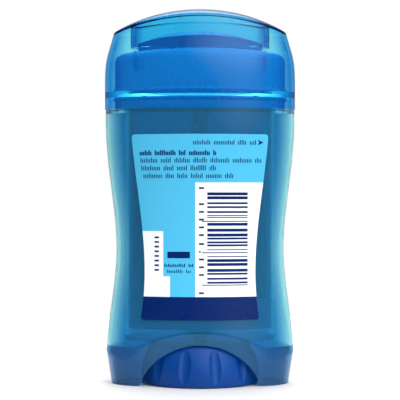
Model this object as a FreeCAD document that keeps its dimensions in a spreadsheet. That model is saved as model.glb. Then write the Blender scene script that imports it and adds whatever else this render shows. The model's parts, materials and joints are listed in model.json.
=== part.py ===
import FreeCAD, Part
import math
import os
import re

import Sketcher

# Deodorant stick: a waisted oval barrel with a turning dial at its foot, a screw-driven elevator
# inside a straight oval gel chamber, a domed applicator and a clear pull-off cap.
# Millimetres, +Z up, origin under the middle of the foot, label side towards -Y.

os.makedirs("parts", exist_ok=True)
doc = FreeCAD.newDocument("deodorant_stick")

# Driving dimensions. Half widths run along X, half depths along Y, heights up from the floor.
DIMENSIONS = [
    # plan oval of the whole pack at the cap
    ("plan_half_width", 33.0),
    ("plan_half_depth", 18.8),
    ("depth_share", 0.5),
    # barrel outline, station by station: how far each one lies inside the plan oval
    ("foot_flare_inset", 0.1),
    ("hip_height", 12.9),
    ("hip_inset", 0.55),
    ("flank_height", 28.5),
    ("flank_inset", 2.4),
    ("waist_height", 45.9),
    ("waist_inset", 4.0),
    ("chest_height", 63.2),
    ("chest_inset", 2.7),
    ("collar_height", 80.6),
    ("collar_inset", 0.7),
    ("deck_height", 94.2),
    ("deck_inset", 0.25),
    ("barrel_wall", 1.4),
    ("deck_thickness", 1.4),
    # tapered foot below the crease
    ("foot_inset", 2.3),
    ("foot_depth_inset", 3.6),
    ("side_draft", 0.16),
    ("front_draft", 0.17),
    ("oval_fullness", 2.9),
    ("arch_margin", 2.1),
    ("arch_over_dial", 0.4),
    # gel chamber
    ("chamber_inset", 7.0),
    ("chamber_depth_inset", 5.7),
    ("chamber_wall", 1.1),
    ("chamber_over_dial", 1.1),
    ("chamber_floor", 1.6),
    ("chamber_headroom", 0.3),
    ("flange_reach", 2.0),
    ("flange_thickness", 1.4),
    ("flange_clearance", 0.2),
    ("chamber_clearance", 0.3),
    ("seal_cup_wall", 1.2),
    ("seal_cup_depth", 1.8),
    # applicator, its heights counted from the deck and the neck
    ("neck_inset", 3.5),
    ("neck_rise", 19.8),
    ("neck_crown_rise", 1.3),
    ("neck_crown_drop", 20.0),
    ("neck_long_reach", 65.7),
    ("neck_cross_reach", 61.8),
    ("neck_round", 3.0),
    ("neck_wall", 1.2),
    ("dome_inset", 8.1),
    ("dome_depth_inset", 4.9),
    ("dome_stand", 7.4),
    ("dome_rise", 20.0),
    ("dome_long_spare", 12.6),
    ("dome_cross_spare", 13.5),
    ("slot_length", 3.6),
    ("slot_width", 1.3),
    ("slot_pitch", 6.4),
    ("slot_row_pitch", 4.4),
    ("bead_low_rise", 3.7),
    ("bead_high_rise", 6.6),
    ("bead_stand", 0.7),
    ("bead_half_height", 0.9),
    # cap, its heights counted from the deck
    ("cap_rim_gap", 0.3),
    ("cap_wall", 1.3),
    ("cap_side_rise", 10.8),
    ("cap_bend_rise", 17.8),
    ("cap_bend_inset", 0.6),
    ("cap_brow_rise", 22.8),
    ("cap_brow_inset", 1.95),
    ("cap_crease_rise", 26.8),
    ("cap_crease_inset", 3.1),
    ("cap_peak_inset", 6.0),
    ("cap_rise", 35.0),
    ("crown_rise", 40.0),
    ("crown_long_spare", 16.3),
    ("crown_cross_spare", 20.6),
    ("crown_edge_round", 0.5),
    ("gate_dimple_width", 5.0),
    ("gate_dimple_depth", 0.4),
    ("plug_wall", 1.5),
    ("plug_side_gap", 1.1),
    ("plug_front_gap", 0.4),
    ("plug_gap", 0.4),
    ("snap_clearance", 0.15),
    ("snap_ring_half_height", 1.08),
    ("rib_inset", 2.1),
    ("rib_bottom_rise", 13.1),
    ("rib_top_rise", 22.8),
    ("rib_bottom_thickness", 1.7),
    ("rib_top_thickness", 0.5),
    ("stop_rib_thickness", 0.9),
    ("stop_rib_length", 4.2),
    ("stop_rib_gap", 0.6),
    ("stop_rib_rise", 23.9),
    # turning dial
    ("dial_stand", 1.5),
    ("dial_floor_gap", 0.3),
    ("dial_top_height", 13.9),
    ("dial_wall", 2.4),
    ("dial_plate", 1.6),
    ("dial_belly_height", 3.5),
    ("dial_profile_radius", 17.0),
    ("dial_room", 0.4),
    ("hub_wall", 2.0),
    ("hub_bottom_height", 5.0),
    ("dial_rib_thickness", 1.0),
    ("dial_rib_count", 6),
    ("flute_count", 12),
    ("flute_cutter_radius", 2.9),
    ("flute_set_in", 1.37),
    ("flute_tilt", 12.4),
    ("flute_middle_height", 7.15),
    # feed screw and its seal
    ("screw_radius", 3.2),
    ("screw_core_radius", 2.4),
    ("screw_top_drop", 10.0),
    ("thread_start_rise", 3.4),
    ("thread_lead", 8.0),
    ("thread_land", 1.0),
    ("thread_root", 2.2),
    ("screw_fit", 0.1),
    ("hub_fit", 0.03),
    ("collar_radius", 5.0),
    ("collar_thickness", 0.7),
    ("seal_section", 0.6),
    # elevator
    ("elevator_rest_gap", 2.4),
    ("elevator_length", 10.0),
    ("elevator_gap", 0.3),
    ("wiper_gap", 0.1),
    ("wiper_height", 1.0),
    ("elevator_wall", 1.2),
    ("elevator_deck", 1.4),
    ("nut_wall", 2.2),
    ("elevator_web", 1.0),
    ("gel_gap", 0.3),
    # labels, printed fields
    ("label_ply", 0.3),
    ("label_glue", 0.02),
    ("label_bottom", 22.8),
    ("label_top", 85.4),
    ("label_foot_half_width", 20.1),
    ("label_waist_half_width", 18.95),
    ("label_chest_height", 66.6),
    ("label_chest_half_width", 21.1),
    ("label_top_half_width", 23.2),
    ("label_corner", 1.0),
    ("band_top", 30.6),
    ("panel_left", -1.6),
    ("panel_top", 69.1),
    ("lot_right", -12.4),
    ("lot_top", 52.7),
    ("lot_step", 37.5),
    ("lot_step_right", -10.1),
    ("bars_bottom", 34.4),
    ("bars_left", 2.45),
    ("bars_guard_left", 0.6),
    ("bars_right", 16.1),
    ("bar_module", 0.33),
    ("bar_count", 24),
]

# Sizes and heights that follow from the driving ones
DERIVED = {
    "foot_flare_half_width": "plan_half_width - foot_flare_inset",
    "hip_half_width": "plan_half_width - hip_inset",
    "flank_half_width": "plan_half_width - flank_inset",
    "waist_half_width": "plan_half_width - waist_inset",
    "chest_half_width": "plan_half_width - chest_inset",
    "collar_half_width": "plan_half_width - collar_inset",
    "deck_half_width": "plan_half_width - deck_inset",
    "foot_half_width": "plan_half_width - foot_inset",
    "foot_half_depth": "plan_half_depth - foot_depth_inset",
    "dial_radius": "plan_half_depth + dial_stand",
    "arch_radius": "dial_radius + arch_margin",
    "arch_height": "dial_top_height + arch_over_dial",
    "chamber_half_width": "plan_half_width - chamber_inset",
    "chamber_half_depth": "plan_half_depth - chamber_depth_inset",
    "chamber_floor_height": "dial_top_height + chamber_over_dial",
    "floor_top": "chamber_floor_height + chamber_floor",
    "neck_half_width": "plan_half_width - neck_inset",
    "neck_half_depth": "plan_half_depth - neck_inset",
    "neck_height": "deck_height + neck_rise",
    "neck_top": "neck_height + neck_crown_rise",
    "dome_half_width": "neck_half_width - dome_inset",
    "dome_half_depth": "neck_half_depth - dome_depth_inset",
    "dome_height": "neck_height + dome_stand",
    "dome_long_reach": "dome_half_width + dome_long_spare",
    "dome_cross_reach": "dome_half_depth + dome_cross_spare",
    "bead_low_height": "deck_height + bead_low_rise",
    "bead_high_height": "deck_height + bead_high_rise",
    "cap_rim_height": "deck_height + cap_rim_gap",
    "cap_side_height": "deck_height + cap_side_rise",
    "cap_bend_height": "deck_height + cap_bend_rise",
    "cap_brow_height": "deck_height + cap_brow_rise",
    "cap_crease_height": "deck_height + cap_crease_rise",
    "crown_height": "deck_height + cap_rise",
    "crown_long_reach": "plan_half_width + crown_long_spare",
    "crown_cross_reach": "plan_half_depth + crown_cross_spare",
    "plug_half_width": "dome_half_width + plug_side_gap + plug_wall",
    "plug_half_depth": "dome_half_depth + plug_front_gap + plug_wall",
    "rib_offset": "plug_half_width - rib_inset",
    "rib_bottom": "deck_height + rib_bottom_rise",
    "rib_top": "deck_height + rib_top_rise",
    "stop_rib_reach": "plan_half_width - stop_rib_length",
    "stop_rib_top": "deck_height + stop_rib_rise",
    "screw_top_height": "neck_height - screw_top_drop",
    "thread_start_height": "floor_top + thread_start_rise",
    "elevator_bottom_height": "floor_top + elevator_rest_gap",
}

sheet = doc.addObject("Spreadsheet::Sheet", "dims")
for row, (alias, number) in enumerate(DIMENSIONS, start=1):
    sheet.set("A%d" % row, alias)
    sheet.set("B%d" % row, str(number))
    sheet.setAlias("B%d" % row, alias)
doc.recompute()
ALIASES = {alias for alias, number in DIMENSIONS}


def sheet_formula(formula):
    """A formula in the names of the sheet, as the model's objects read it."""
    def point_to_sheet(found):
        word = found.group(0)
        if word in DERIVED:
            return "(%s)" % sheet_formula(DERIVED[word])
        return "dims." + word if word in ALIASES else word

    return re.sub(r"[a-z_]+", point_to_sheet, formula)


def bind(thing, prop, formula):
    """Tie a property to a formula written in the names of the sheet."""
    thing.setExpression(prop, sheet_formula(formula))


workings = doc.addObject("Spreadsheet::Sheet", "workings")


def amount(formula):
    """The number that a formula in the names of the sheet comes to."""
    workings.set("A1", "=" + sheet_formula(formula))
    workings.recompute()
    return float(workings.get("A1"))


def value(name):
    """The number that a driving or derived size has."""
    return amount(name) if name in DERIVED else float(sheet.get(name))


# Shape helpers
def ellipse(name, half_width, half_depth, height):
    """A level ellipse at a height, its long axis along X."""
    ring = doc.addObject("Part::Ellipse", name)
    bind(ring, "MajorRadius", half_width)
    bind(ring, "MinorRadius", half_depth)
    bind(ring, ".Placement.Base.z", height)
    return ring


def loft(name, rings, ruled=False):
    """A closed solid through level rings."""
    body = doc.addObject("Part::Loft", name)
    body.Sections = rings
    body.Solid = True
    body.Ruled = ruled
    return body


def oval_prism(name, half_width, half_depth, bottom, top):
    """An upright elliptical cylinder between two heights."""
    ring = ellipse(name + "_ring", half_width, half_depth, bottom)
    prism = doc.addObject("Part::Extrusion", name)
    prism.Base = ring
    prism.DirMode = "Custom"
    prism.Dir = FreeCAD.Vector(0, 0, 1)
    prism.Solid = True
    bind(prism, "LengthFwd", "(%s) - (%s)" % (top, bottom))
    return prism


def cylinder(name, radius, bottom, top):
    """An upright round cylinder on the main axis."""
    post = doc.addObject("Part::Cylinder", name)
    bind(post, "Radius", radius)
    bind(post, "Height", "(%s) - (%s)" % (top, bottom))
    bind(post, ".Placement.Base.z", bottom)
    return post


def block(name, low, high):
    """A box between two corners, each given as three formulas."""
    box = doc.addObject("Part::Box", name)
    sides = ("Length", "Width", "Height")
    for side, axis, start, end in zip(sides, "xyz", low, high):
        bind(box, side, "(%s) - (%s)" % (end, start))
        bind(box, ".Placement.Base." + axis, start)
    return box


def cut(name, base, tool):
    result = doc.addObject("Part::Cut", name)
    result.Base = base
    result.Tool = tool
    return result


def common(name, first, second):
    result = doc.addObject("Part::Common", name)
    result.Base = first
    result.Tool = second
    return result


def fuse(name, pieces):
    result = doc.addObject("Part::MultiFuse", name)
    result.Shapes = pieces
    result.Refine = False
    return result


def origin_plane(body, role):
    return [feature for feature in body.Origin.OriginFeatures if feature.Role == role][0]


def sketch_on(body, name, role):
    """A sketch on one of the origin planes of its own body."""
    sketch = body.newObject("Sketcher::SketchObject", name)
    sketch.AttachmentSupport = [(origin_plane(body, role), "")]
    sketch.MapMode = "FlatFace"
    return sketch


def constrain_point(sketch, line, across, up):
    """Hold the start of a line at a place given by two formulas."""
    for kind, formula, axis in (("DistanceX", across, -2), ("DistanceY", up, -1)):
        if formula == "0":
            sketch.addConstraint(Sketcher.Constraint("PointOnObject", line, 1, axis))
        else:
            index = sketch.addConstraint(Sketcher.Constraint(kind, -1, 1, line, 1, 1.0))
            label = "%s_%d" % (kind, line)
            sketch.renameConstraint(index, label)
            bind(sketch, "Constraints." + label, formula)


def outline(sketch, corners):
    """A closed anticlockwise profile through corners given as pairs of formulas.

    A corner with a third formula starts a side that bulges outwards with that radius.
    """
    count = len(corners)
    places = [FreeCAD.Vector(amount(corner[0]), amount(corner[1]), 0) for corner in corners]
    for number, corner in enumerate(corners):
        start = places[number]
        end = places[(number + 1) % count]
        if len(corner) == 2:
            sketch.addGeometry(Part.LineSegment(start, end), False)
        else:
            radius = amount(corner[2])
            chord = end - start
            outwards = FreeCAD.Vector(chord.y, -chord.x, 0).normalize()
            sagitta = radius - math.sqrt(radius ** 2 - (chord.Length / 2) ** 2)
            belly = (start + end) * 0.5 + outwards * sagitta
            sketch.addGeometry(Part.Arc(start, belly, end), False)
    for number in range(count):
        following = (number + 1) % count
        sketch.addConstraint(Sketcher.Constraint("Coincident", number, 2, following, 1))
    for number, corner in enumerate(corners):
        constrain_point(sketch, number, corner[0], corner[1])
        if len(corner) == 3:
            index = sketch.addConstraint(Sketcher.Constraint("Radius", number, amount(corner[2])))
            sketch.renameConstraint(index, "radius_%d" % number)
            bind(sketch, "Constraints.radius_%d" % number, corner[2])


def turned(body, name, corners):
    """Revolve a polygon of (radius, height) formulas about the main axis."""
    sketch = sketch_on(body, name + "_profile", "XZ_Plane")
    outline(sketch, corners)
    doc.recompute()
    revolution = body.newObject("PartDesign::Revolution", name)
    revolution.Profile = sketch
    revolution.ReferenceAxis = (sketch, ["V_Axis"])
    revolution.Angle = 360.0
    doc.recompute()
    return revolution


def ellipsoid(name, top, rise, long_reach, cross_reach, shrink="0"):
    """A crown: the upper part of an ellipsoid with its top at a height, or a smaller one inside it."""
    crown = doc.addObject("Part::Ellipsoid", name)
    bind(crown, "Radius1", "%s - %s" % (rise, shrink))
    bind(crown, "Radius2", "%s - %s" % (long_reach, shrink))
    bind(crown, "Radius3", "%s - %s" % (cross_reach, shrink))
    bind(crown, ".Placement.Base.z", "%s - %s" % (top, rise))
    return crown


def rounded(name, base, radius, low, high):
    """Round the edges between two faces of a solid that lie between two heights."""
    doc.recompute()
    numbers = []
    for number, edge in enumerate(base.Shape.Edges, start=1):
        level = edge.BoundBox.ZMin > low and edge.BoundBox.ZMax < high
        faces = base.Shape.ancestorsOfType(edge, Part.Face)
        if level and len(faces) == 2 and not faces[0].isSame(faces[1]):
            numbers.append((number, value(radius), value(radius)))
    fillet = doc.addObject("Part::Fillet", name)
    fillet.Base = base
    fillet.Edges = numbers
    return fillet


# Barrel: the waisted oval, its tapered foot, and what is cut out of them
STATIONS = ("flank", "waist", "chest", "collar")


def waisted(name, grow, low="0"):
    """The waisted oval, grown or shrunk all round by a formula."""
    stations = [(low, "foot_flare_half_width"), ("hip_height", "hip_half_width")]
    stations += [(word + "_height", word + "_half_width") for word in STATIONS]
    stations += [("deck_height", "deck_half_width")]
    rings = []
    for number, (height, half_width) in enumerate(stations):
        depth = "plan_half_depth - depth_share * (plan_half_width - %s)" % half_width
        ring = ellipse(
            "%s_ring_%d" % (name, number),
            "%s + (%s)" % (half_width, grow),
            "%s + (%s)" % (depth, grow),
            height,
        )
        rings.append(ring)
    return loft(name, rings)


def oval_wire(name, half_width, half_depth, end_radius, height):
    """A level oval of four tangent arcs: two tight ends and two long sides."""
    reach = half_width - end_radius
    side_radius = (reach ** 2 + half_depth ** 2 - end_radius ** 2) / (2 * (half_depth - end_radius))
    side_centre = side_radius - half_depth
    slant = math.hypot(reach, side_centre)
    joint_x = side_radius * reach / slant
    joint_y = side_radius * side_centre / slant - side_centre
    points = {
        "right": FreeCAD.Vector(half_width, 0, height),
        "right_back": FreeCAD.Vector(joint_x, joint_y, height),
        "back": FreeCAD.Vector(0, half_depth, height),
        "left_back": FreeCAD.Vector(-joint_x, joint_y, height),
        "left": FreeCAD.Vector(-half_width, 0, height),
        "left_front": FreeCAD.Vector(-joint_x, -joint_y, height),
        "front": FreeCAD.Vector(0, -half_depth, height),
        "right_front": FreeCAD.Vector(joint_x, -joint_y, height),
    }
    arcs = (
        ("right_front", "right", "right_back"),
        ("right_back", "back", "left_back"),
        ("left_back", "left", "left_front"),
        ("left_front", "front", "right_front"),
    )
    edges = [Part.Arc(points[a], points[b], points[c]).toShape() for a, b, c in arcs]
    wire = doc.addObject("Part::Feature", name)
    wire.Shape = Part.Wire(edges)
    return wire


def tapered_foot(name, shrink, low, high):
    """The straight-sided foot form, widening upwards, shrunk all round by a wall."""
    rings = []
    for word, height in (("low", low), ("high", high)):
        half_width = value("foot_half_width") + value("side_draft") * height
        half_depth = value("foot_half_depth") + value("front_draft") * height
        end_radius = half_depth - value("oval_fullness")
        rings.append(oval_wire(
            "%s_%s_ring" % (name, word),
            half_width - shrink,
            half_depth - shrink,
            end_radius - shrink,
            height,
        ))
    return loft(name, rings, ruled=True)


foot_run = value("deck_height") + 1
foot_outside = tapered_foot("foot_outside", 0, 0, foot_run)
barrel_form = common("barrel_form", waisted("waisted_outside", "0"), foot_outside)
cavity_limit = block(
    "cavity_limit",
    ("-plan_half_width", "-plan_half_depth", "-1"),
    ("plan_half_width", "plan_half_depth", "deck_height - deck_thickness"),
)
waisted_inside = waisted("waisted_inside", "-barrel_wall", low="-1")
foot_inside = tapered_foot("foot_inside", value("barrel_wall"), -1, foot_run)
cavity = common("barrel_cavity", common("waisted_cavity", waisted_inside, cavity_limit), foot_inside)
deck_hole = oval_prism(
    "deck_hole",
    "chamber_half_width + chamber_clearance",
    "chamber_half_depth + chamber_clearance",
    "deck_height - 2 * deck_thickness",
    "deck_height + deck_thickness",
)
arch = doc.addObject("Part::Cylinder", "finger_arch")
arch.Placement = FreeCAD.Placement(FreeCAD.Vector(), FreeCAD.Rotation(FreeCAD.Vector(1, 0, 0), 90))
bind(arch, "Radius", "arch_radius")
bind(arch, "Height", "4 * plan_half_depth")
bind(arch, ".Placement.Base.y", "2 * plan_half_depth")
bind(arch, ".Placement.Base.z", "arch_height - arch_radius")


def dial_side(height):
    """The radius of the dial's bulging side at a height."""
    away = "(dial_profile_radius ^ 2 - (%s - dial_belly_height) ^ 2)" % height
    return "dial_radius - dial_profile_radius + sqrt(%s)" % away


dial_space = doc.addObject("PartDesign::Body", "dial_space")
turned(dial_space, "dial_space_turned", [
    ("0", "-1"),
    (dial_side("dial_floor_gap") + " + dial_room", "-1"),
    (dial_side("dial_floor_gap") + " + dial_room", "dial_floor_gap", "dial_profile_radius"),
    (dial_side("dial_top_height") + " + dial_room", "dial_top_height"),
    (dial_side("dial_top_height") + " + dial_room", "dial_top_height + dial_room"),
    ("0", "dial_top_height + dial_room"),
])
barrel_hollows = fuse("barrel_hollows", [cavity, deck_hole, arch, dial_space])
barrel_shell = cut("barrel_shell", barrel_form, barrel_hollows)

# Gel chamber: a straight oval tube with a floor, a seal cup and a flange that lies on the deck
chamber_top = "neck_height - neck_wall - chamber_headroom"
chamber_tube = oval_prism(
    "chamber_tube", "chamber_half_width", "chamber_half_depth", "chamber_floor_height", chamber_top
)
flange = oval_prism(
    "chamber_flange",
    "chamber_half_width + flange_reach",
    "neck_half_depth - neck_wall - flange_clearance",
    "deck_height",
    "deck_height + flange_thickness",
)
chamber_bore = oval_prism(
    "chamber_bore",
    "chamber_half_width - chamber_wall",
    "chamber_half_depth - chamber_wall",
    "chamber_floor_height + chamber_floor",
    chamber_top + " + 1",
)
cup_bore_radius = "screw_radius + 2 * seal_section + snap_clearance"
cup_outside = cylinder(
    "cup_outside",
    cup_bore_radius + " + seal_cup_wall",
    "chamber_floor_height + 0.5 * chamber_floor",
    "floor_top + seal_cup_depth",
)
cup_bore = cylinder("cup_bore", cup_bore_radius, "floor_top", "floor_top + seal_cup_depth + 1")
seal_cup = cut("seal_cup", cup_outside, cup_bore)
spindle_hole = cylinder(
    "spindle_hole", "screw_radius + chamber_clearance", "chamber_floor_height - 1", "floor_top + 1"
)
chamber_walls = cut("chamber_walls", fuse("chamber_outside", [chamber_tube, flange]), chamber_bore)
inner_chamber = cut("inner_chamber", fuse("chamber_with_cup", [chamber_walls, seal_cup]), spindle_hole)

# Applicator: a neck with rounded shoulders, a domed face with slots, and two snap beads
neck_prism = oval_prism(
    "neck_prism", "neck_half_width", "neck_half_depth", "deck_height", "neck_top + neck_wall"
)
neck_face = ellipsoid(
    "neck_face", "neck_top", "neck_crown_drop", "neck_long_reach", "neck_cross_reach"
)
neck = common("neck_outside", neck_prism, neck_face)
neck_edge_low = value("neck_height") - value("neck_round")
neck_rounded = rounded("neck_rounded", neck, "neck_round", neck_edge_low, value("neck_top"))
neck_bore = oval_prism(
    "neck_bore",
    "neck_half_width - neck_wall",
    "neck_half_depth - neck_wall",
    "deck_height - 1",
    "neck_height - neck_wall",
)
bore_top = value("neck_height") - value("neck_wall")
neck_bore_rounded = rounded("neck_bore_rounded", neck_bore, "chamber_headroom", bore_top - 1, bore_top + 1)
dome_prism = oval_prism(
    "dome_prism", "dome_half_width", "dome_half_depth", "neck_height - 0.5 * neck_wall", "dome_height + 1"
)
dome_face = ellipsoid("dome_face", "dome_height", "dome_rise", "dome_long_reach", "dome_cross_reach")
dome = common("dome_outside", dome_prism, dome_face)
dome_bore_prism = oval_prism(
    "dome_bore_prism",
    "dome_half_width - neck_wall",
    "dome_half_depth - neck_wall",
    "neck_height - 2 * neck_wall",
    "dome_height + 1",
)
dome_under = ellipsoid(
    "dome_under", "dome_height", "dome_rise", "dome_long_reach", "dome_cross_reach", shrink="neck_wall"
)
dome_bore = common("dome_bore", dome_bore_prism, dome_under)


def bead(name, height):
    """A snap bead round the neck with a ridge section."""
    rings = [
        ellipse(name + "_low", "neck_half_width", "neck_half_depth", height + " - bead_half_height"),
        ellipse(name + "_ridge", "neck_half_width + bead_stand", "neck_half_depth + bead_stand", height),
        ellipse(name + "_high", "neck_half_width", "neck_half_depth", height + " + bead_half_height"),
    ]
    return loft(name, rings, ruled=True)


beads = [bead("bead_low", "bead_low_height"), bead("bead_high", "bead_high_height")]
slots = []
SLOT_PLACES = [(column, row) for row in (-1, 0, 1) for column in (-2, -1, 0, 1, 2)]
for column, row in SLOT_PLACES:
    number = len(slots)
    slot_x = "%d * slot_pitch" % column
    slot_y = "%d * slot_row_pitch" % row
    slots.append(block(
        "slot_%d" % number,
        (slot_x + " - 0.5 * slot_length", slot_y + " - 0.5 * slot_width", "neck_height - 2 * neck_wall"),
        (slot_x + " + 0.5 * slot_length", slot_y + " + 0.5 * slot_width", "dome_height + 1"),
    ))
applicator_outside = fuse("applicator_outside", [neck_rounded, dome] + beads)
applicator_hollow = fuse("applicator_hollow", [neck_bore_rounded, dome_bore] + slots)
applicator_dome = cut("applicator_dome", applicator_outside, applicator_hollow)

# Cap: oval sides that draw in above the bend, a doubly curved crown, and its inner fittings
CAP_STATIONS = [
    ("cap_side_height", "0"),
    ("cap_bend_height", "cap_bend_inset"),
    ("cap_brow_height", "cap_brow_inset"),
    ("cap_crease_height", "cap_crease_inset"),
    ("crown_height + cap_wall", "cap_peak_inset"),
]


def cap_form(name, shrink, rim):
    """The side walls of the cap, run up past the crown, shrunk all round by a formula."""
    stations = [(rim, "0"), ("0.5 * (cap_rim_height + cap_side_height)", "0")] + CAP_STATIONS
    rings = []
    for number, (height, inset) in enumerate(stations):
        rings.append(ellipse(
            "%s_ring_%d" % (name, number),
            "plan_half_width - (%s) - %s" % (inset, shrink),
            "plan_half_depth - (%s) - %s" % (inset, shrink),
            height,
        ))
    return loft(name, rings)


crown = ellipsoid("crown", "crown_height", "crown_rise", "crown_long_reach", "crown_cross_reach")
cap_outside = common("cap_outside", cap_form("cap_sides", "0", "cap_rim_height"), crown)
crease_low = value("cap_crease_height") - 3
cap_rounded = rounded("cap_rounded", cap_outside, "crown_edge_round", crease_low, value("crown_height"))
crown_under = ellipsoid(
    "crown_under", "crown_height", "crown_rise", "crown_long_reach", "crown_cross_reach", shrink="cap_wall"
)
cap_inside = cap_form("cap_inside", "cap_wall", "cap_rim_height - 1")
cap_hollow = common("cap_hollow", cap_inside, crown_under)

plug_bottom = "neck_top + plug_gap"
plug_ring = cut(
    "plug_ring",
    oval_prism("plug_outside", "plug_half_width", "plug_half_depth", plug_bottom, "crown_height"),
    oval_prism("plug_inside", "plug_half_width - plug_wall", "plug_half_depth - plug_wall",
               plug_bottom + " - 1", "crown_height + 1"),
)
snap_height = "0.5 * (bead_low_height + bead_high_height)"
snap_reach = "neck_half_width + bead_stand + snap_clearance"
snap_depth = "neck_half_depth + bead_stand + snap_clearance"
snap_hole = loft("snap_hole", [
    ellipse("snap_hole_low", "plan_half_width - cap_wall", "plan_half_depth - cap_wall",
            snap_height + " - snap_ring_half_height"),
    ellipse("snap_hole_ridge", snap_reach, snap_depth, snap_height),
    ellipse("snap_hole_high", "plan_half_width - cap_wall", "plan_half_depth - cap_wall",
            snap_height + " + snap_ring_half_height"),
], ruled=True)
snap_ring = cut(
    "snap_ring",
    oval_prism("snap_blank", "plan_half_width", "plan_half_depth",
               snap_height + " - snap_ring_half_height", snap_height + " + snap_ring_half_height"),
    snap_hole,
)


def guide_rib(name, side):
    """A rib across the cap, thick at its foot and thin at its top, at one side of the middle."""
    rib = doc.addObject("Part::Wedge", name)
    turn = FreeCAD.Rotation(FreeCAD.Vector(1, 0, 0), 90)
    rib.Placement = FreeCAD.Placement(FreeCAD.Vector(), turn)
    bind(rib, "Xmin", "-0.5 * rib_bottom_thickness")
    bind(rib, "Xmax", "0.5 * rib_bottom_thickness")
    bind(rib, "X2min", "-0.5 * rib_top_thickness")
    bind(rib, "X2max", "0.5 * rib_top_thickness")
    bind(rib, "Ymin", "0")
    bind(rib, "Ymax", "rib_top - rib_bottom")
    for word, sign in (("min", "-"), ("max", "")):
        bind(rib, "Z" + word, sign + "plan_half_depth")
        bind(rib, "Z2" + word, sign + "plan_half_depth")
    bind(rib, ".Placement.Base.x", "%d * rib_offset" % side)
    bind(rib, ".Placement.Base.z", "rib_bottom")
    return rib


def stop_rib(name, side):
    """A short rib inside one end of the cap, just over the applicator's shoulder."""
    near = "stop_rib_reach" if side > 0 else "-plan_half_width"
    far = "plan_half_width" if side > 0 else "-stop_rib_reach"
    return block(
        name,
        (near, "-0.5 * stop_rib_thickness", "neck_height + stop_rib_gap"),
        (far, "0.5 * stop_rib_thickness", "stop_rib_top"),
    )


rib_limit = oval_prism(
    "rib_limit",
    "neck_half_width + bead_stand + chamber_clearance",
    "neck_half_depth + bead_stand + chamber_clearance",
    "rib_bottom - 1",
    "rib_top + 1",
)
guide_ribs = cut(
    "guide_ribs", fuse("rib_blanks", [guide_rib("rib_left", -1), guide_rib("rib_right", 1)]), rib_limit
)
stop_ribs = [stop_rib("stop_left", -1), stop_rib("stop_right", 1)]
cap_fittings = fuse("cap_fittings", [plug_ring, snap_ring, guide_ribs] + stop_ribs)
cap_walls = cut("cap_walls", cap_rounded, cut("cap_free_space", cap_hollow, cap_fittings))
dimple = doc.addObject("Part::Sphere", "gate_dimple")
dimple_radius = "(0.25 * gate_dimple_width ^ 2 + gate_dimple_depth ^ 2) / (2 * gate_dimple_depth)"
bind(dimple, "Radius", dimple_radius)
bind(dimple, ".Placement.Base.z", "crown_height - gate_dimple_depth + " + dimple_radius)
overcap = cut("overcap", cap_walls, dimple)

# Dial: a ribbed cup with twelve lens-shaped flutes and a hub for the screw
dial = doc.addObject("PartDesign::Body", "dial")
hub_bore = "screw_radius + hub_fit"
hub_radius = hub_bore + " + hub_wall"
plate_under = "dial_top_height - dial_plate"
dial_inner = dial_side("(%s)" % plate_under) + " - dial_wall"
turned(dial, "dial_cup", [
    (hub_bore, "hub_bottom_height"),
    (hub_radius, "hub_bottom_height"),
    (hub_radius, plate_under),
    (dial_inner, plate_under),
    (dial_side("dial_floor_gap") + " - dial_wall", "dial_floor_gap"),
    (dial_side("dial_floor_gap"), "dial_floor_gap", "dial_profile_radius"),
    (dial_side("dial_top_height"), "dial_top_height"),
    (hub_bore, "dial_top_height"),
])
rib_sketch = sketch_on(dial, "dial_rib_plan", "XY_Plane")
bind(rib_sketch, ".AttachmentOffset.Base.z", "hub_bottom_height")
bind(rib_sketch, ".AttachmentOffset.Base.y", "-dial_rib_thickness")
outline(rib_sketch, [
    (hub_radius + " - 0.5 * hub_wall", "0.5 * dial_rib_thickness"),
    (dial_inner + " + 0.2 * dial_wall", "0.5 * dial_rib_thickness"),
    (dial_inner + " + 0.2 * dial_wall", "1.5 * dial_rib_thickness"),
    (hub_radius + " - 0.5 * hub_wall", "1.5 * dial_rib_thickness"),
])
doc.recompute()
dial_rib = dial.newObject("PartDesign::Pad", "dial_rib")
dial_rib.Profile = rib_sketch
bind(dial_rib, "Length", "dial_top_height - 0.5 * dial_plate - hub_bottom_height")
doc.recompute()
dial_ribs = dial.newObject("PartDesign::PolarPattern", "dial_ribs")
dial_ribs.Originals = [dial_rib]
dial_ribs.Axis = (origin_plane(dial, "Z_Axis"), [""])
dial_ribs.Angle = 360.0
bind(dial_ribs, "Occurrences", "dial_rib_count")
dial.Tip = dial_ribs
doc.recompute()

# Each flute is a straight round cut, leaning with the dial's side, so its mouth is lens-shaped
flute_sketch = sketch_on(dial, "flute_profile", "XZ_Plane")
lean = FreeCAD.Rotation(FreeCAD.Vector(0, 0, 1), value("flute_tilt"))
flute_sketch.AttachmentOffset = FreeCAD.Placement(FreeCAD.Vector(), lean)
bind(flute_sketch, ".AttachmentOffset.Base.x", "dial_radius - flute_set_in + flute_cutter_radius")
bind(flute_sketch, ".AttachmentOffset.Base.y", "flute_middle_height")
outline(flute_sketch, [
    ("0", "-dial_top_height"),
    ("flute_cutter_radius", "-dial_top_height"),
    ("flute_cutter_radius", "dial_top_height"),
    ("0", "dial_top_height"),
])
doc.recompute()
flute = dial.newObject("PartDesign::Groove", "flute")
flute.Profile = flute_sketch
flute.ReferenceAxis = (flute_sketch, ["V_Axis"])
flute.Angle = 360.0
doc.recompute()
flutes = dial.newObject("PartDesign::PolarPattern", "flutes")
flutes.Originals = [flute]
flutes.Axis = (origin_plane(dial, "Z_Axis"), [""])
flutes.Angle = 360.0
bind(flutes, "Occurrences", "flute_count")
dial.Tip = flutes
doc.recompute()
dial.Placement = FreeCAD.Placement(
    FreeCAD.Vector(), FreeCAD.Rotation(FreeCAD.Vector(0, 0, 1), 180.0 / value("flute_count"))
)

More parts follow.
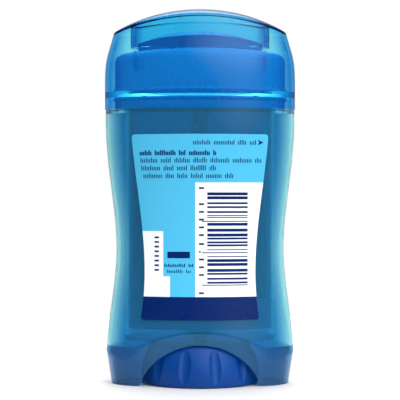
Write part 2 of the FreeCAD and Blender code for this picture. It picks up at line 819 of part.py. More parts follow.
# Feed screw: shank in the dial's hub, collar under the chamber floor, journal, and threaded rod
feed_screw = doc.addObject("PartDesign::Body", "feed_screw")
collar_top = "dial_top_height + collar_thickness"
turned(feed_screw, "screw_rod", [
    ("0", "hub_bottom_height"),
    ("screw_radius", "hub_bottom_height"),
    ("screw_radius", "dial_top_height"),
    ("collar_radius", "dial_top_height"),
    ("collar_radius", collar_top),
    ("screw_radius", collar_top),
    ("screw_radius", "thread_start_height - thread_land"),
    ("screw_core_radius", "thread_start_height"),
    ("screw_core_radius", "screw_top_height - screw_core_radius"),
    ("0.5 * screw_core_radius", "screw_top_height"),
    ("0", "screw_top_height"),
])
thread_sketch = sketch_on(feed_screw, "thread_profile", "XZ_Plane")
bind(thread_sketch, ".AttachmentOffset.Base.y", "thread_start_height")
thread_inner = "0.8 * screw_core_radius"
outline(thread_sketch, [
    (thread_inner, "0.1 * thread_land"),
    ("screw_radius", "0.1 * thread_land + 0.5 * (thread_root - thread_land)"),
    ("screw_radius", "0.1 * thread_land + 0.5 * (thread_root + thread_land)"),
    (thread_inner, "0.1 * thread_land + thread_root"),
])
doc.recompute()
thread = feed_screw.newObject("PartDesign::AdditiveHelix", "thread")
thread.Profile = thread_sketch
thread.ReferenceAxis = (thread_sketch, ["V_Axis"])
thread.Mode = 0
thread.LeftHanded = True
bind(thread, "Pitch", "thread_lead")
bind(thread, "Height", "screw_top_height - thread_start_height - 2 * thread_root - screw_core_radius")
doc.recompute()

# Seal: a ring that hugs the journal on the chamber floor
spindle_seal = doc.addObject("Part::Torus", "spindle_seal")
bind(spindle_seal, "Radius1", "screw_radius + seal_section")
bind(spindle_seal, "Radius2", "seal_section")
bind(spindle_seal, ".Placement.Base.z", "floor_top + seal_section")

# Elevator: an inverted oval cup with two wiper lips, a nut sleeve and a web
bore_half_width = "chamber_half_width - chamber_wall"
bore_half_depth = "chamber_half_depth - chamber_wall"
elevator_top = "elevator_bottom_height + elevator_length"


def wiper(name, bottom):
    """A lip that reaches almost to the chamber wall."""
    return oval_prism(
        name, bore_half_width + " - wiper_gap", bore_half_depth + " - wiper_gap",
        bottom, bottom + " + wiper_height",
    )


elevator_cup = oval_prism(
    "elevator_cup", bore_half_width + " - elevator_gap", bore_half_depth + " - elevator_gap",
    "elevator_bottom_height", elevator_top,
)
elevator_hollow = oval_prism(
    "elevator_hollow",
    bore_half_width + " - elevator_gap - elevator_wall",
    bore_half_depth + " - elevator_gap - elevator_wall",
    "elevator_bottom_height - 1",
    elevator_top + " - elevator_deck",
)
elevator_blank = fuse("elevator_blank", [
    elevator_cup,
    wiper("wiper_low", "elevator_bottom_height"),
    wiper("wiper_high", elevator_top + " - wiper_height"),
])
nut_sleeve = cylinder(
    "nut_sleeve", "screw_radius + screw_fit + nut_wall", "elevator_bottom_height",
    elevator_top + " - 0.5 * elevator_deck",
)
web_reach = bore_half_width + " - elevator_gap - 0.5 * elevator_wall"
elevator_web = block(
    "elevator_web_blade",
    ("-(%s)" % web_reach, "-0.5 * elevator_web", "elevator_bottom_height + wiper_height"),
    (web_reach, "0.5 * elevator_web", elevator_top + " - 0.5 * elevator_deck"),
)
elevator_body = fuse("elevator_body", [
    cut("elevator_shell", elevator_blank, elevator_hollow), nut_sleeve, elevator_web,
])
elevator = cut("elevator", elevator_body, cylinder(
    "nut_bore", "screw_radius + screw_fit", "elevator_bottom_height - 1", elevator_top + " + 1",
))

# Gel: fills the chamber above the elevator, round the screw
gel_bottom = elevator_top + " + gel_gap"
gel = cut(
    "gel",
    oval_prism("gel_fill", bore_half_width + " - gel_gap", bore_half_depth + " - gel_gap",
               gel_bottom, chamber_top + " - gel_gap"),
    cylinder("gel_round_screw", "screw_radius + gel_gap", gel_bottom + " - 1", "screw_top_height + gel_gap"),
)

# Labels: plies that follow the waisted barrel. The back one is parted into its printed fields
label_form = waisted("label_form", "label_ply")
label_seat = waisted("label_seat", "label_glue")


def label_prism(name, side):
    """The label's outline run out from the barrel on one side: -1 for the back, 1 for the front."""
    places = (
        ("label_foot_half_width", "label_bottom"),
        ("label_waist_half_width", "waist_height"),
        ("label_chest_half_width", "label_chest_height"),
        ("label_top_half_width", "label_top"),
    )
    right = [FreeCAD.Vector(value(across), 0, value(up)) for across, up in places]
    left = [FreeCAD.Vector(-point.x, 0, point.z) for point in reversed(right)]
    right_edge = Part.BSplineCurve()
    right_edge.interpolate(right)
    left_edge = Part.BSplineCurve()
    left_edge.interpolate(left)
    edges = [
        right_edge.toShape(),
        Part.LineSegment(right[-1], left[0]).toShape(),
        left_edge.toShape(),
        Part.LineSegment(left[-1], right[0]).toShape(),
    ]
    face = Part.Face(Part.Wire(edges))
    reach = 2 * value("plan_half_depth")
    block_out = face.extrude(FreeCAD.Vector(0, side * reach, 0))
    corners = [edge for edge in block_out.Edges if edge.BoundBox.YLength > 0.9 * reach]
    prism = doc.addObject("Part::Feature", name)
    prism.Shape = block_out.makeFillet(value("label_corner"), corners)
    return prism


def label_piece(name, prism):
    """The part of the label ply that a prism marks out."""
    return cut(name, common(name + "_blank", label_form, prism), label_seat)


def mark(name, left, right, bottom, top):
    """A block that marks out one printed field on the back."""
    return block(name, (left, "-2 * plan_half_depth", bottom), (right, "0", top))


back_prism = label_prism("back_prism", -1)
front_label = label_piece("front_label", label_prism("front_prism", 1))
band_mark = mark("band_mark", "-plan_half_width", "plan_half_width", "0", "band_top")
panel_mark = mark("panel_mark", "panel_left", "plan_half_width", "band_top", "panel_top")
lot_mark = fuse("lot_marks", [
    mark("lot_mark", "-plan_half_width", "lot_right", "lot_step", "lot_top"),
    mark("lot_step_mark", "-plan_half_width", "lot_step_right", "band_top", "lot_step"),
])

# A plain ladder of bars with no meaning: widths and gaps follow a short rule
bars = []
bar_bottom = value("bars_bottom")
for number in range(int(value("bar_count"))):
    width = 1 + (number * number + number // 3) % 3
    gap = 1 + (number + number // 4) % 3
    guard = number % 8 == 0
    left = value("bars_guard_left") if guard else value("bars_left")
    bars.append(Part.makeBox(
        value("bars_right") - left,
        2 * value("plan_half_depth"),
        width * value("bar_module"),
        FreeCAD.Vector(left, -2 * value("plan_half_depth"), bar_bottom),
    ))
    bar_bottom += (width + gap) * value("bar_module")
bar_marks = doc.addObject("Part::Feature", "bar_marks")
bar_marks.Shape = Part.makeCompound(bars)

fields = fuse("field_marks", [band_mark, panel_mark, lot_mark])
back_label = label_piece("back_label", cut("sky_prism", back_prism, fields))
label_band = label_piece("label_band", common("band_prism", back_prism, band_mark))
barcode_panel = label_piece(
    "barcode_panel", cut("panel_prism", common("panel_blank", back_prism, panel_mark), bar_marks)
)
lot_panel = label_piece("lot_panel", common("lot_prism", back_prism, lot_mark))
code_bars = label_piece("code_bars", bar_marks)

NODES = [
    overcap, applicator_dome, barrel_shell, inner_chamber, dial, feed_screw, spindle_seal, elevator,
    gel, back_label, label_band, barcode_panel, lot_panel, code_bars, front_label,
]
doc.recompute()
for thing in doc.Objects:
    if "Invalid" in thing.State or "Error" in thing.State:
        raise RuntimeError("%s did not build: %s" % (thing.Name, thing.State))
for node in NODES:
    shape = node.Shape
    if shape.isNull() or not shape.isValid() or not shape.Solids:
        raise RuntimeError("%s has no sound solid" % node.Name)
for node in NODES:
    node.Label = node.Name
    box = node.Shape.BoundBox
    print("%-18s %3d solid(s) %9.1f mm3  z %6.2f to %6.2f  x %6.2f  y %6.2f" % (
        node.Label, len(node.Shape.Solids), node.Shape.Volume, box.ZMin, box.ZMax, box.XMax, box.YMin))
    node.Shape.exportStep("parts/%s.step" % node.Label)
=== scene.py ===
import json
import math
import random

import bmesh
import bpy
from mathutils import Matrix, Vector
from mathutils.bvhtree import BVHTree


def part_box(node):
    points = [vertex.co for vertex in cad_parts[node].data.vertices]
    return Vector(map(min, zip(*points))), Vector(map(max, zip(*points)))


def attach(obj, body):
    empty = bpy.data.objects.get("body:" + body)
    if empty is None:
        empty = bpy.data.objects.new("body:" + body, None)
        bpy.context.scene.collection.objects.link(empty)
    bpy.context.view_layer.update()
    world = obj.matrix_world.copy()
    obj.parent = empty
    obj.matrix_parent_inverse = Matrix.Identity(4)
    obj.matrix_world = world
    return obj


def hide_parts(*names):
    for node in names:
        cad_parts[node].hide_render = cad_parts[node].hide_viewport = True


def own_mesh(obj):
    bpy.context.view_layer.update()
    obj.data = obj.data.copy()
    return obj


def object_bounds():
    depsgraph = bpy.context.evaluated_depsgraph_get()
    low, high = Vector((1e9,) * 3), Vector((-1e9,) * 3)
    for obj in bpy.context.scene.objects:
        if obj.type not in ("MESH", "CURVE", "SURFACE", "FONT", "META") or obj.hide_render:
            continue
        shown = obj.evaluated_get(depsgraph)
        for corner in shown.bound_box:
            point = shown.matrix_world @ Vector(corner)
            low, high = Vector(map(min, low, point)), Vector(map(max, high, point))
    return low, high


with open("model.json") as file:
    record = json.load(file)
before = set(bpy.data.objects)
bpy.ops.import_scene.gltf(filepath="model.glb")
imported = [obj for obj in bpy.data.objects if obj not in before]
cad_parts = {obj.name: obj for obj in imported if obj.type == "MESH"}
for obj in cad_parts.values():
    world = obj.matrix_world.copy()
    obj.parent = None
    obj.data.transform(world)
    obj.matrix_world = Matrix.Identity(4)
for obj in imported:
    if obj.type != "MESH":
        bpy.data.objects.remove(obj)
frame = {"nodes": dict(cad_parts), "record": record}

# Looks of a clear gel deodorant stick: clear blue cap over a blue applicator, see-through teal
# barrel round the gel chamber, fluted dial and printed back label. Metres, label side towards -Y.

cad_low, cad_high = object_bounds()
MM = 0.001
nodes = frame["nodes"]


# Colours, as linear light
SKY = (0.080, 0.500, 0.790)
SKY_DEEP = (0.077, 0.494, 0.784)
NAVY = (0.0001, 0.016, 0.118)
NAVY_DEEP = (0.0001, 0.015, 0.114)
WHITE = (0.900, 0.920, 0.930)
WHITE_DEEP = (0.870, 0.895, 0.910)
APPLICATOR_BLUE = (0.001, 0.245, 0.620)
APPLICATOR_DEEP = (0.001, 0.225, 0.575)
BARREL_FRONT = (0.053, 0.365, 0.655)
# Painted backlight glow, blended in where the barrel's wall turns sideways
BARREL_PAINTED_GLOW = (0.520, 0.970, 1.000)
# Painted shade for the hollow foot's outer corners below the crease
BARREL_FOOT_PAINTED_SHADE = (0.050, 0.230, 0.480)
DIAL_BLUE = (0.001, 0.052, 0.270)
DIAL_DEEP = (0.001, 0.042, 0.225)
INNER_BLUE = (0.018, 0.190, 0.520)
INNER_DEEP = (0.015, 0.165, 0.460)
RUBBER = (0.040, 0.045, 0.055)
RUBBER_DEEP = (0.025, 0.030, 0.040)
# The labels' glued side: its own blue, darkened with painted shade for the unlit back of the far
# label
LABEL_BACK_WITH_SHADE = (0.020, 0.180, 0.420)
CLEAR = (1.0, 1.0, 1.0)

# What a millimetre of each clear stuff takes out of red, green and blue light
CAP_LOSS = (0.66, 0.155, 0.052)
CHAMBER_LOSS = (0.15, 0.050, 0.025)
GEL_LOSS = (0.080, 0.045, 0.028)
# The volume's density, high enough for the greatest loss above
LOSS_DENSITY = 1000.0


# Node helpers

# Most of a noise lies between these two values
NOISE_LOW = 0.3
NOISE_HIGH = 0.7
# Sockets of the colour mix node, which has several with one name
MIX_VALUE = 0
MIX_FIRST = 6
MIX_SECOND = 7
MIX_RESULT = 2


def node(tree, kind, **settings):
    """A shader node with some of its settings and unlinked inputs filled in."""
    made = tree.nodes.new(kind)
    for name, setting in settings.items():
        if name in made.inputs:
            made.inputs[name].default_value = setting
        else:
            setattr(made, name, setting)
    return made


def fresh_material(name):
    """A new material with its node tree and its shader."""
    material = bpy.data.materials.new(name)
    material.use_nodes = True
    return material, material.node_tree, material.node_tree.nodes["Principled BSDF"]


def split(tree, source):
    """The three parts of a vector."""
    parts = node(tree, "ShaderNodeSeparateXYZ")
    tree.links.new(source, parts.inputs["Vector"])
    return parts.outputs


def noise(tree, cells, detail=3.0):
    """Noise that sits still on the object, at a number of cells per metre."""
    place = node(tree, "ShaderNodeTexCoord")
    texture = node(tree, "ShaderNodeTexNoise", Scale=cells, Detail=detail)
    tree.links.new(place.outputs["Object"], texture.inputs["Vector"])
    return texture.outputs["Fac"]


def spread(tree, source, low, high, start=NOISE_LOW, end=NOISE_HIGH):
    """Turn a value between two others into a range."""
    ramp = node(tree, "ShaderNodeMapRange")
    ramp.inputs["From Min"].default_value = start
    ramp.inputs["From Max"].default_value = end
    ramp.inputs["To Min"].default_value = low
    ramp.inputs["To Max"].default_value = high
    tree.links.new(source, ramp.inputs["Value"])
    return ramp.outputs["Result"]


def mixed(tree, source, first, second):
    """Two colours, plain or from a socket, mixed by a value."""
    mix = node(tree, "ShaderNodeMix", data_type="RGBA")
    tree.links.new(source, mix.inputs[MIX_VALUE])
    for place, colour in ((MIX_FIRST, first), (MIX_SECOND, second)):
        if isinstance(colour, tuple):
            mix.inputs[place].default_value = (*colour, 1.0)
        else:
            tree.links.new(colour, mix.inputs[place])
    return mix.outputs[MIX_RESULT]


def maths(tree, operation, first, second=0.0):
    """One step of arithmetic on two sockets or numbers."""
    made = node(tree, "ShaderNodeMath", operation=operation)
    for socket, term in zip(made.inputs, (first, second)):
        if isinstance(term, (int, float)):
            socket.default_value = term
        else:
            tree.links.new(term, socket)
    return made.outputs["Value"]


def bumped(tree, shader, source, height):
    """Relief of a height in metres from a value."""
    bump = node(tree, "ShaderNodeBump", Strength=1.0, Distance=height)
    tree.links.new(source, bump.inputs["Height"])
    tree.links.new(bump.outputs["Normal"], shader.inputs["Normal"])


def sideways_share(tree, start, end):
    """How far a wall turns sideways, from the front and back to the two ends of the oval."""
    place = node(tree, "ShaderNodeTexCoord")
    facing = split(tree, place.outputs["Normal"])
    return spread(tree, maths(tree, "ABSOLUTE", facing["X"]), 0.0, 1.0, start, end)


# Opaque plastic
DRIFT_CELLS = 60.0
GRAIN_DETAIL = 5.0
# Least and most of its roughness, as shares of the stated one
ROUGHNESS_LOW = 0.8
ROUGHNESS_HIGH = 1.25
PLASTIC_IOR = 1.49
PLASTIC_GLOSS = 0.18
COAT_ROUGHNESS = 0.08


def solid_plastic(name, light, deep, roughness, grain, relief, coat=0.0):
    """Opaque moulded plastic with a fine spark texture and a slight drift of colour."""
    material, tree, shader = fresh_material(name)
    drift = spread(tree, noise(tree, DRIFT_CELLS), 0.0, 1.0)
    tree.links.new(mixed(tree, drift, deep, light), shader.inputs["Base Color"])
    texture = noise(tree, grain, GRAIN_DETAIL)
    worn = spread(tree, texture, roughness * ROUGHNESS_LOW, roughness * ROUGHNESS_HIGH)
    tree.links.new(worn, shader.inputs["Roughness"])
    bumped(tree, shader, texture, relief)
    shader.inputs["IOR"].default_value = PLASTIC_IOR
    shader.inputs["Specular IOR Level"].default_value = PLASTIC_GLOSS
    shader.inputs["Coat Weight"].default_value = coat
    shader.inputs["Coat Roughness"].default_value = COAT_ROUGHNESS
    return material


# Clear plastic and gel
SMEAR_CELLS = 45.0
WAVE_DETAIL = 2.0
# Least and most of its roughness, as shares of the stated one
SMEAR_LOW = 0.5
SMEAR_HIGH = 1.6
# How far a wall of the cap has to turn sideways to take the painted shade of its ends, and that
# shade's colour
EDGE_SHADE_START = 0.60
EDGE_SHADE_FULL = 1.0
CAP_PAINTED_EDGE_SHADE = (0.24, 0.48, 0.78)


def clear_plastic(name, loss, roughness, ior, waves, relief):
    """Clear plastic that darkens with the length of the light's path, with faint moulding waves."""
    material, tree, shader = fresh_material(name)
    shader.inputs["Base Color"].default_value = (*CLEAR, 1.0)
    shader.inputs["Transmission Weight"].default_value = 1.0
    shader.inputs["IOR"].default_value = ior
    smear = spread(tree, noise(tree, SMEAR_CELLS), roughness * SMEAR_LOW, roughness * SMEAR_HIGH)
    tree.links.new(smear, shader.inputs["Roughness"])
    bumped(tree, shader, noise(tree, waves, WAVE_DETAIL), relief)
    absorption = node(tree, "ShaderNodeVolumeAbsorption", Density=LOSS_DENSITY)
    passed = tuple(1.0 - share / MM / LOSS_DENSITY for share in loss)
    absorption.inputs["Color"].default_value = (*passed, 1.0)
    output = tree.nodes["Material Output"]
    tree.links.new(absorption.outputs["Volume"], output.inputs["Volume"])
    return material


def cap_plastic(name):
    """The cap's clear plastic, with painted shade deepening its colour at its two ends."""
    material = clear_plastic(name, CAP_LOSS, roughness=0.03, ior=1.25, waves=90.0, relief=0.012 * MM)
    tree = material.node_tree
    shader = tree.nodes["Principled BSDF"]
    # Painted shade: the clear plastic deepens in colour towards the oval's ends
    turned = sideways_share(tree, EDGE_SHADE_START, EDGE_SHADE_FULL)
    tree.links.new(mixed(tree, turned, CLEAR, CAP_PAINTED_EDGE_SHADE), shader.inputs["Base Color"])
    return material


# Barrel

# How far its wall has to turn sideways to take the painted backlight glow
GLOW_START = 0.62
GLOW_FULL = 1.0
# The crease round the foot: its height at the sides, its rise over the arch, how far to each side
# the rise reaches and half the width of its line
CREASE_SIDE = 12.9 * MM
CREASE_RISE = 5.7 * MM
CREASE_REACH = 22.0 * MM
CREASE_HALF = 0.22 * MM
# A thin line of painted shade along the crease: its colour and how far it darkens the plastic
CREASE_PAINTED_SHADE = (0.020, 0.200, 0.420)
CREASE_SHADE_STRENGTH = 0.8
# Across the foot: where its painted shade starts and where it is full
FOOT_SHADE_START = 13.0 * MM
FOOT_SHADE_FULL = 24.0 * MM
BARREL_SMOOTH = 0.10
BARREL_ROUGH = 0.16
BARREL_WAVES = 70.0
BARREL_RELIEF = 0.006 * MM
BARREL_CLEARNESS = 0.80
BARREL_IOR = 1.30


def above_crease(tree, spot):
    """Height above the crease, which runs level round the foot and rises over the arch."""
    share = maths(tree, "DIVIDE", spot["X"], CREASE_REACH)
    fall = maths(tree, "MULTIPLY", maths(tree, "MULTIPLY", share, share), CREASE_RISE)
    rise = maths(tree, "MAXIMUM", maths(tree, "SUBTRACT", CREASE_RISE, fall), 0.0)
    crease = maths(tree, "ADD", rise, CREASE_SIDE)
    return maths(tree, "SUBTRACT", spot["Z"], crease)


def barrel_plastic(name, front, end, foot):
    """Pearly clear plastic, deep in front, with a painted backlight glow paling it towards the oval's
    ends, painted shade darkening the foot's outer corners and a thin painted shade line along the
    crease.
    """
    material, tree, shader = fresh_material(name)
    # Painted backlight glow: the wall pales towards the oval's ends
    body = mixed(tree, sideways_share(tree, GLOW_START, GLOW_FULL), front, end)
    spot = split(tree, node(tree, "ShaderNodeTexCoord").outputs["Object"])
    height = above_crease(tree, spot)
    below = spread(tree, height, 1.0, 0.0, -CREASE_HALF, CREASE_HALF)
    outward = spread(tree, maths(tree, "ABSOLUTE", spot["X"]), 0.0, 1.0, FOOT_SHADE_START, FOOT_SHADE_FULL)
    # Painted shade: darker blue in the foot's outer corners, below the crease
    body = mixed(tree, maths(tree, "MULTIPLY", below, outward), body, foot)
    # Painted shade: a thin dark line along the crease
    away = maths(tree, "ABSOLUTE", height)
    line = spread(tree, away, CREASE_SHADE_STRENGTH, 0.0, 0.0, 2 * CREASE_HALF)
    body = mixed(tree, line, body, CREASE_PAINTED_SHADE)
    tree.links.new(body, shader.inputs["Base Color"])
    smear = spread(tree, noise(tree, SMEAR_CELLS), BARREL_SMOOTH, BARREL_ROUGH)
    tree.links.new(smear, shader.inputs["Roughness"])
    bumped(tree, shader, noise(tree, BARREL_WAVES, WAVE_DETAIL), BARREL_RELIEF)
    shader.inputs["Transmission Weight"].default_value = BARREL_CLEARNESS
    shader.inputs["IOR"].default_value = BARREL_IOR
    return material


# Printed film
SCREEN_CELLS = 2600.0
SCREEN_DETAIL = 2.0
FILM_CELLS = 300.0
FILM_SMOOTH = 0.26
FILM_ROUGH = 0.40
FILM_WAVES = 220.0
FILM_RELIEF = 0.004 * MM
FILM_GLOSS = 0.12
# How far a face of the film may lean before it counts as the other side
FILM_TURN = 0.1


def label_film(name, light, deep):
    """Printed film with a faint screen in its ink and a semi gloss face."""
    material, tree, shader = fresh_material(name)
    screen = spread(tree, noise(tree, SCREEN_CELLS, SCREEN_DETAIL), 0.0, 1.0)
    tree.links.new(mixed(tree, screen, deep, light), shader.inputs["Base Color"])
    smear = spread(tree, noise(tree, FILM_CELLS), FILM_SMOOTH, FILM_ROUGH)
    tree.links.new(smear, shader.inputs["Roughness"])
    bumped(tree, shader, noise(tree, FILM_WAVES), FILM_RELIEF)
    shader.inputs["Specular IOR Level"].default_value = FILM_GLOSS
    return material


def two_sided_film(name, light, deep, back, bands):
    """A label with level bands of print outside, and on the side that is glued to the barrel a dark
    blue that is partly painted shade.
    """
    material = label_film(name, light, deep)
    tree = material.node_tree
    shader = tree.nodes["Principled BSDF"]
    printed = shader.inputs["Base Color"].links[0].from_socket
    place = node(tree, "ShaderNodeTexCoord")
    facing = split(tree, place.outputs["Normal"])
    outside = spread(tree, facing["Y"], 0.0, 1.0, -FILM_TURN, FILM_TURN)
    height = split(tree, place.outputs["Object"])["Z"]
    for colour, foot, top in bands:
        over = maths(tree, "GREATER_THAN", height, foot)
        under = maths(tree, "LESS_THAN", height, top)
        printed = mixed(tree, maths(tree, "MULTIPLY", over, under), printed, colour)
    # The glued side takes its blue, darkened with painted shade
    tree.links.new(mixed(tree, outside, back, printed), shader.inputs["Base Color"])
    return material


# Front label: a navy foot as high as the back label's, a navy cap and a white stripe beside each

FRONT_STRIPE = 1.6 * MM
FRONT_GAP = 1.2 * MM
FRONT_CAP = 12.0 * MM


def front_film():
    """The front label's film, with a band and a stripe at its foot and at its top."""
    foot_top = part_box("label_band")[1].z
    label_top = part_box("front_label")[1].z
    low_stripe = foot_top + FRONT_GAP
    cap_foot = label_top - FRONT_CAP
    high_stripe = cap_foot - FRONT_GAP
    bands = (
        (NAVY, 0.0, foot_top),
        (WHITE, low_stripe, low_stripe + FRONT_STRIPE),
        (NAVY, cap_foot, label_top),
        (WHITE, high_stripe - FRONT_STRIPE, high_stripe),
    )
    return two_sided_film("front_film", SKY, SKY_DEEP, LABEL_BACK_WITH_SHADE, bands)


MATERIALS = {
    "cap_clear_blue": cap_plastic("cap_clear_blue"),
    "applicator_blue": solid_plastic(
        "applicator_blue", APPLICATOR_BLUE, APPLICATOR_DEEP,
        roughness=0.28, grain=900.0, relief=0.004 * MM, coat=0.1,
    ),
    "barrel_clear_teal": barrel_plastic(
        "barrel_clear_teal", BARREL_FRONT, BARREL_PAINTED_GLOW, BARREL_FOOT_PAINTED_SHADE
    ),
    "chamber_clear": clear_plastic(
        "chamber_clear", CHAMBER_LOSS, roughness=0.05, ior=1.49, waves=60.0, relief=0.01 * MM
    ),
    "dial_blue": solid_plastic(
        "dial_blue", DIAL_BLUE, DIAL_DEEP, roughness=0.36, grain=2200.0, relief=0.006 * MM
    ),
    "inner_blue": solid_plastic(
        "inner_blue", INNER_BLUE, INNER_DEEP, roughness=0.5, grain=1200.0, relief=0.01 * MM
    ),
    "seal_rubber": solid_plastic(
        "seal_rubber", RUBBER, RUBBER_DEEP, roughness=0.6, grain=3000.0, relief=0.01 * MM
    ),
    "gel_clear": clear_plastic(
        "gel_clear", GEL_LOSS, roughness=0.06, ior=1.40, waves=120.0, relief=0.02 * MM
    ),
    "label_sky": label_film("label_sky", SKY, SKY_DEEP),
    "label_navy": label_film("label_navy", NAVY, NAVY_DEEP),
    "label_white": label_film("label_white", WHITE, WHITE_DEEP),
}


def dress_nodes():
    """Give each carried-over node the material of its slot in the record."""
    for part in frame["record"]["subparts"]:
        piece = nodes[part["node"]]
        slot = part["material_slot"]
        piece.data.materials.clear()
        piece.data.materials.append(MATERIALS[slot])
    nodes["front_label"].data.materials[0] = front_film()


dress_nodes()


# Gel: the oval fill of the chamber
gel_low, gel_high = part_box("gel")
GEL_SIDES = 96
GEL_LEVELS = 24


def ring_points(half_width, half_depth, height, count):
    """Points round a level oval."""
    turn = 2 * math.pi / count
    return [
        Vector((half_width * math.cos(i * turn), half_depth * math.sin(i * turn), height))
        for i in range(count)
    ]


def mesh_piece(name, mesh, material, smooth=True):
    """A finished bmesh as a scene object."""
    bmesh.ops.recalc_face_normals(mesh, faces=mesh.faces)
    data = bpy.data.meshes.new(name)
    mesh.to_mesh(data)
    mesh.free()
    for face in data.polygons:
        face.use_smooth = smooth
    data.materials.append(material)
    piece = bpy.data.objects.new(name, data)
    bpy.context.scene.collection.objects.link(piece)
    return piece


def gel_fill():
    """The gel, in evenly spaced levels."""
    mesh = bmesh.new()
    rings = []
    for level in range(GEL_LEVELS + 1):
        height = gel_low.z + (gel_high.z - gel_low.z) * level / GEL_LEVELS
        points = ring_points(gel_high.x, gel_high.y, height, GEL_SIDES)
        rings.append([mesh.verts.new(point) for point in points])
    for lower, upper in zip(rings, rings[1:]):
        for i in range(GEL_SIDES):
            j = (i + 1) % GEL_SIDES
            mesh.faces.new((lower[i], lower[j], upper[j], upper[i]))
    mesh.faces.new(list(reversed(rings[0])))
    mesh.faces.new(rings[-1])
    return mesh_piece("gel_fill", mesh, MATERIALS["gel_clear"])


# Print on the back label: plain strokes in place of words, a pointer, a plain patch and ticks
INK_SEED = 7
INK_FOOT = 0.004 * MM
INK_TOP = 0.030 * MM
INK_COLUMN = 0.8 * MM
STROKE = 0.30 * MM
STROKE_PITCH = 0.60 * MM
# Heights that a stroke is drawn from, as shares of its line's tallest
STROKE_HEIGHTS = (0.72, 0.72, 1.0)
WORD_GAP = 0.95 * MM
# Fewest and most strokes of a line's first group and of its others
FIRST_GROUP = (5, 12)
NEXT_GROUP = (4, 12)
# Each line, in millimetres: height of its middle, left end, right end and its tallest stroke's
# height, then how many times as wide as the plain stroke its strokes are
TEXT_LINES = (
    (82.6, -2.3, 18.6, 1.6, 1.0),
    (79.1, -20.4, 5.0, 1.7, 1.45),
    (76.6, -20.1, 20.6, 1.7, 1.0),
    (74.0, -19.8, 5.4, 1.7, 1.0),
    (71.4, -19.1, 11.1, 1.7, 1.0),
    (41.2, -12.0, -2.6, 1.1, 1.2),
    (39.2, -11.0, -3.2, 1.1, 1.0),
)
# The pointer, in millimetres: left end, tip, height of its middle and its own height
POINTER = (19.4, 21.5, 82.6, 1.9)
POINTER_NOTCH = 0.3
# The patch, in millimetres: left, right, foot and top
PLAIN_PATCH = (-11.0, -3.4, 43.6, 45.8)
# Each column of ticks, in millimetres: its middle, a tick's length, its first and last height,
# then how many ticks it has
TICK_COLUMNS = (
    (0.5, 1.7, 67.2, 67.2, 1),
    (0.5, 1.7, 61.8, 51.4, 5),
    (0.5, 1.7, 48.4, 38.0, 5),
    (0.5, 1.7, 31.9, 31.9, 1),
    (-14.6, 1.5, 50.6, 39.6, 8),
)
TICK_THICKNESS = 0.62 * MM
LABEL_FIELDS = ("back_label", "label_band", "barcode_panel", "lot_panel")


def label_surface():
    """A tree of the back label's faces, to lay the print on."""
    corners = []
    faces = []
    for name in LABEL_FIELDS:
        data = nodes[name].data
        first = len(corners)
        corners += [vertex.co.copy() for vertex in data.vertices]
        faces += [[first + corner for corner in face.vertices] for face in data.polygons]
    return BVHTree.FromPolygons(corners, faces)


def on_label(surface, x, z):
    """The point of the label's outer face at this place across and up, met from outside."""
    return surface.ray_cast(Vector((x, 2 * cad_low.y, z)), Vector((0.0, 1.0, 0.0)))[0]


def ink_patch(mesh, surface, outline):
    """A closed, slightly raised patch of ink with this outline, given anticlockwise."""
    places = [on_label(surface, x, z) for x, z in outline]
    if None in places:
        return
    feet = [mesh.verts.new(place - Vector((0.0, INK_FOOT, 0.0))) for place in places]
    tops = [mesh.verts.new(place - Vector((0.0, INK_TOP, 0.0))) for place in places]
    mesh.faces.new(tops)
    mesh.faces.new(list(reversed(feet)))
    for i in range(len(outline)):
        j = (i + 1) % len(outline)
        mesh.faces.new((feet[i], feet[j], tops[j], tops[i]))


def ink_block(mesh, surface, left, right, bottom, top):
    """A rectangle of ink, in columns narrow enough to follow the label's curve."""
    count = math.ceil((right - left) / INK_COLUMN)
    width = (right - left) / count
    for i in range(count):
        start = left + i * width
        end = start + width
        ink_patch(mesh, surface, ((start, bottom), (end, bottom), (end, top), (start, top)))


def ink_line(mesh, surface, line, rng):
    """One line of print: groups of upright strokes of two heights, with gaps between the groups."""
    middle, left, right, tall, weight = line
    x = left * MM
    foot = (middle - 0.5 * tall) * MM
    strokes_left = rng.randint(*FIRST_GROUP)
    while x < right * MM:
        height = tall * MM * rng.choice(STROKE_HEIGHTS)
        ink_block(mesh, surface, x, x + STROKE * weight, foot, foot + height)
        x += STROKE_PITCH
        strokes_left -= 1
        if strokes_left == 0:
            x += WORD_GAP
            strokes_left = rng.randint(*NEXT_GROUP)


def ink_pointer(mesh, surface):
    """A swallow-tailed pointer, in two halves."""
    left, tip, middle, height = (size * MM for size in POINTER)
    notch = left + POINTER_NOTCH * (tip - left)
    ink_patch(mesh, surface, ((left, middle - 0.5 * height), (tip, middle), (notch, middle)))
    ink_patch(mesh, surface, ((notch, middle), (tip, middle), (left, middle + 0.5 * height)))


def ink_ticks(mesh, surface, column):
    """One column of evenly spaced ticks."""
    middle, length, first, last, count = column
    half = 0.5 * length * MM
    for i in range(count):
        height = (first + (last - first) * i / max(1, count - 1)) * MM
        ink_block(
            mesh, surface, middle * MM - half, middle * MM + half,
            height - 0.5 * TICK_THICKNESS, height + 0.5 * TICK_THICKNESS,
        )


def label_print():
    """All the ink of the back label as one piece."""
    rng = random.Random(INK_SEED)
    surface = label_surface()
    mesh = bmesh.new()
    for line in TEXT_LINES:
        ink_line(mesh, surface, line, rng)
    ink_pointer(mesh, surface)
    ink_block(mesh, surface, *(size * MM for size in PLAIN_PATCH))
    for column in TICK_COLUMNS:
        ink_ticks(mesh, surface, column)
    return mesh_piece("label_print", mesh, MATERIALS["label_navy"], smooth=False)


# Camera: it looks level at the label side, from a distance read from the curve of the rims
CAMERA_DISTANCE = 0.5225
CAMERA_HEIGHT = 0.0632
# Focal length and sensor width, in millimetres
LENS = 135.3
SENSOR = 36.0


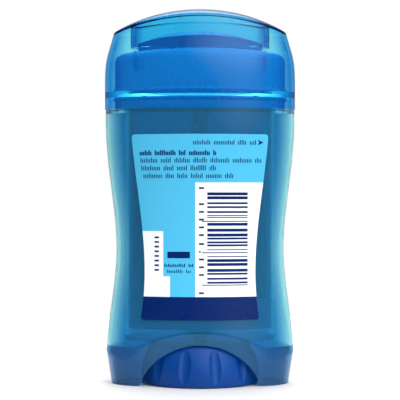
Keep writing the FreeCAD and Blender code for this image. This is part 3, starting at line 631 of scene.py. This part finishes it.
def add_camera():
    """The camera at the photograph's place."""
    data = bpy.data.cameras.new("camera")
    data.lens = LENS
    data.sensor_width = SENSOR
    camera = bpy.data.objects.new("camera", data)
    camera.location = (0.0, -CAMERA_DISTANCE, CAMERA_HEIGHT)
    camera.rotation_euler = (math.pi / 2, 0.0, 0.0)
    bpy.context.scene.collection.objects.link(camera)
    bpy.context.scene.camera = camera


# Floor
FLOOR_REACH = 0.30
FLOOR_SIDES = 96
FLOOR_PALE = (0.58, 0.58, 0.58)
FLOOR_PALER = (0.60, 0.60, 0.60)
FLOOR_CELLS = 25.0
FLOOR_ROUGHNESS = 0.6


def add_floor():
    """A round pale floor."""
    mesh = bmesh.new()
    rim = ring_points(FLOOR_REACH, FLOOR_REACH, 0.0, FLOOR_SIDES)
    mesh.faces.new([mesh.verts.new(point) for point in rim])
    material, tree, shader = fresh_material("floor_white")
    speck = spread(tree, noise(tree, FLOOR_CELLS), 0.0, 1.0)
    tree.links.new(mixed(tree, speck, FLOOR_PALE, FLOOR_PALER), shader.inputs["Base Color"])
    shader.inputs["Roughness"].default_value = FLOOR_ROUGHNESS
    mesh_piece("floor", mesh, material, smooth=False)


# Room
ROOM_LIGHT = 0.08
# Each soft light of the room: where it stands, how bright it is, cosines of its edge and its core
BACKDROP = ((0.0, 1.0, 0.0), 0.30, 0.45, 0.88)
KEY = ((0.44, -0.70, 0.56), 4.05, 0.80, 0.985)
CEILING = ((0.0, 0.22, 0.97), 4.3, 0.56, 0.96)


def soft_light(tree, direction, light):
    """Light from a round patch of the room, strongest at its core."""
    aim, level, edge, core = light
    facing = node(tree, "ShaderNodeVectorMath", operation="DOT_PRODUCT")
    facing.inputs[1].default_value = Vector(aim).normalized()
    tree.links.new(direction, facing.inputs[0])
    return spread(tree, facing.outputs["Value"], 0.0, level, edge, core)


def light_room():
    """A backdrop, a key in front and a ceiling, as soft lights in a dim room.

    Seen directly or through the clear plastic the room is white all round. Its reflections and the
    light that it gives opaque walls come from the soft lights.
    """
    world = bpy.data.worlds.new("room")
    world.use_nodes = True
    tree = world.node_tree
    sky = tree.nodes["Background"]
    sky.inputs["Color"].default_value = (1.0, 1.0, 1.0, 1.0)
    direction = node(tree, "ShaderNodeTexCoord").outputs["Generated"]
    level = ROOM_LIGHT
    for light in (BACKDROP, KEY, CEILING):
        level = maths(tree, "ADD", soft_light(tree, direction, light), level)
    ray = node(tree, "ShaderNodeLightPath")
    for straight in ("Is Camera Ray", "Is Transmission Ray"):
        level = maths(tree, "MAXIMUM", level, ray.outputs[straight])
    tree.links.new(level, sky.inputs["Strength"])
    bpy.context.scene.world = world


def set_output():
    """Plain colours, and enough bounces for light to pass through every clear wall."""
    scene = bpy.context.scene
    scene.view_settings.view_transform = "Standard"
    scene.cycles.max_bounces = 32
    scene.cycles.transmission_bounces = 32
    scene.cycles.glossy_bounces = 8
    scene.cycles.diffuse_bounces = 4
    scene.cycles.transparent_max_bounces = 16
    scene.cycles.sample_clamp_indirect = 4.0


gel = gel_fill()
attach(gel, "barrel")
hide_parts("gel")
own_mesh(gel)

print_piece = label_print()
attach(print_piece, "barrel")

add_camera()
add_floor()
light_room()
set_output()
